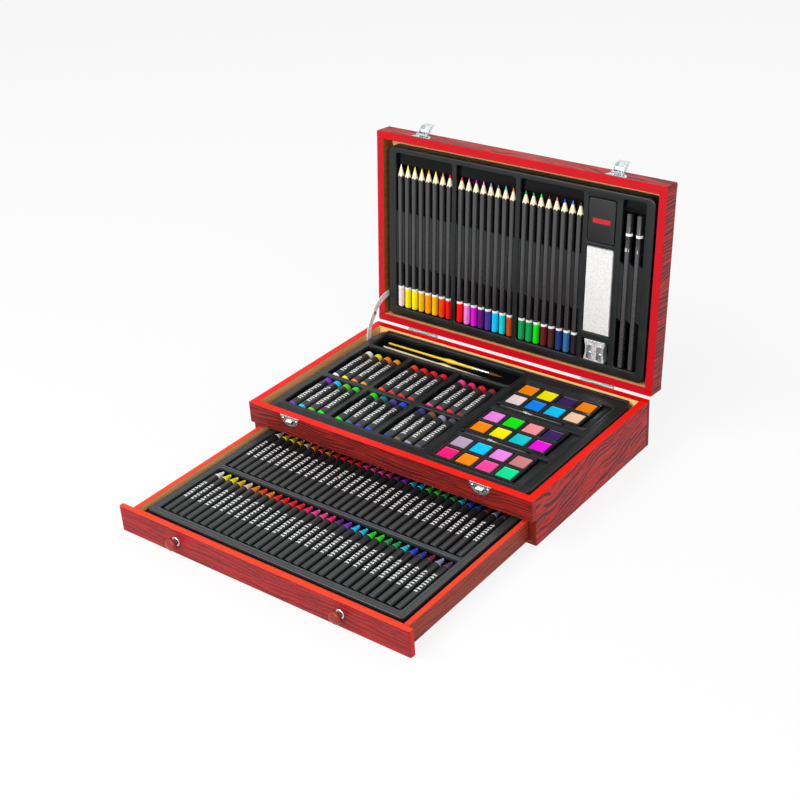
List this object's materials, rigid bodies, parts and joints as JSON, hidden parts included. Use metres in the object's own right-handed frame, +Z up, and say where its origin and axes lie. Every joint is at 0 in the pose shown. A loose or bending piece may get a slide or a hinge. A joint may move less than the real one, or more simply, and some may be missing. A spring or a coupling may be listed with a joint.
{
  "type": "pencil drawer box",
  "caption": "Wooden art case with a hinged lid of pencils, a tray of pastels and watercolours, and a pull-out drawer of crayons.",
  "frame": {"origin": "centre of the case's underside, on the surface it stands on", "axes": "+X to the right, +Y to the back (hinge side), +Z up; the drawer pulls out towards -Y"},
  "size_m": [0.37, 0.4844, 0.2988],
  "materials": {
    "printed_wood": "red wood-grain foil",
    "plain_wood": "bare wood",
    "stained_wood": "red-brown stain",
    "tray_plastic": "satin",
    "palette_plastic": "gloss",
    "nickel": "plated steel",
    "steel": "brushed",
    "pastel": "paper sleeve round an oil pastel",
    "wax": "paper sleeve round a wax stick",
    "paint_cake": "pressed watercolour",
    "pencil_paint": "gloss lacquer on wood",
    "pencil_cap": "lacquer",
    "pencil_lead": "coloured lead",
    "graphite": "graphite",
    "brush_handle": "lacquered wood",
    "bristle": "hair",
    "rubber": "soft",
    "sanding": "coated paper on a block",
    "alloy": "cast and milled"
  },
  "bodies": {
    "case": {"left_side_panel": "printed_wood", "right_side_panel": "printed_wood", "back_panel": "printed_wood", "front_rail": "printed_wood", "bottom_board": "plain_wood", "tray_shelf": "plain_wood", "base_tray": "tray_plastic", "pastel_sticks": "pastel", "watercolour_palettes": "palette_plastic", "watercolour_cakes": "paint_cake", "brush_handles": "brush_handle", "brush_ferrules": "nickel", "brush_bristles": "bristle", "palette_brushes": "brush_handle", "strike_plates": "nickel", "strike_screws": "nickel", "hinge_case_leaves": "nickel", "hinge_pins": "steel", "hinge_case_screws": "nickel", "stay_case_screw": "nickel"},
    "lid": {"lid_front_board": "printed_wood", "lid_back_board": "printed_wood", "lid_left_board": "printed_wood", "lid_right_board": "printed_wood", "lid_panel": "printed_wood", "lid_tray": "tray_plastic", "pencil_barrels": "pencil_paint", "pencil_caps": "pencil_cap", "pencil_leads": "pencil_lead", "sketch_pencils": "pencil_paint", "sketch_leads": "graphite", "eraser": "rubber", "sanding_block": "sanding", "sharpener_body": "alloy", "sharpener_blades": "steel", "sharpener_screws": "nickel", "hinge_lid_leaves": "nickel", "hinge_lid_screws": "nickel", "latch_plates": "nickel", "latch_pins": "steel", "latch_screws": "nickel", "stay_lid_screw": "nickel"},
    "drawer": {"drawer_front": "printed_wood", "drawer_box_front": "stained_wood", "drawer_left_side": "stained_wood", "drawer_right_side": "stained_wood", "drawer_back": "stained_wood", "drawer_bottom": "plain_wood", "drawer_tray": "tray_plastic", "crayons": "wax", "knobs": "stained_wood", "knob_ferrules": "nickel", "knob_screws": "steel"},
    "left_latch_lever": {"left_latch_lever": "nickel"},
    "left_latch_claw": {"left_latch_claw": "nickel"},
    "right_latch_lever": {"right_latch_lever": "nickel"},
    "right_latch_claw": {"right_latch_claw": "nickel"},
    "stay_lower": {"stay_lower_link": "nickel", "stay_elbow_rivet": "steel"},
    "stay_upper": {"stay_upper_link": "nickel"}
  },
  "joints": [
    {"name": "lid_hinge", "type": "hinge", "parent": "case", "child": "lid", "pos_m": [0, 0.118, 0.05525], "axis": [1, 0, 0], "range_deg": [0, 95]},
    {"name": "drawer_slide", "type": "slide", "parent": "case", "child": "drawer", "axis": [0, 1, 0], "range_m": [0, 0.1977]},
    {"name": "stay_lower_pivot", "type": "hinge", "parent": "case", "child": "stay_lower", "pos_m": [-0.1741, 0.0837, 0.042], "axis": [1, 0, 0], "range_deg": [0, 96.52]},
    {"name": "stay_upper_pivot", "type": "hinge", "parent": "lid", "child": "stay_upper", "pos_m": [-0.1753, 0.13055, 0.09029], "axis": [-1, 0, 0], "range_deg": [0, 97.17]},
    {"name": "left_lever_pivot", "type": "hinge", "parent": "lid", "child": "left_latch_lever", "pos_m": [-0.12432, 0.14588, 0.29072], "axis": [1, 0, 0], "range_deg": [0, 135]},
    {"name": "left_claw_pivot", "type": "hinge", "parent": "left_latch_lever", "child": "left_latch_claw", "pos_m": [-0.12432, 0.14945, 0.29424], "axis": [-1, 0, 0], "range_deg": [0, 147]},
    {"name": "right_lever_pivot", "type": "hinge", "parent": "lid", "child": "right_latch_lever", "pos_m": [0.12432, 0.14588, 0.29072], "axis": [1, 0, 0], "range_deg": [0, 135]},
    {"name": "right_claw_pivot", "type": "hinge", "parent": "right_latch_lever", "child": "right_latch_claw", "pos_m": [0.12432, 0.14945, 0.29424], "axis": [-1, 0, 0], "range_deg": [0, 147]}
  ],
  "couplings": [
    {"joint": "stay_lower_pivot", "follows": "lid_hinge", "ratio": 1.0159},
    {"joint": "stay_upper_pivot", "follows": "lid_hinge", "ratio": 1.0227},
    {"joint": "left_claw_pivot", "follows": "left_lever_pivot", "ratio": 1.0889},
    {"joint": "right_claw_pivot", "follows": "right_lever_pivot", "ratio": 1.0889}
  ]
}
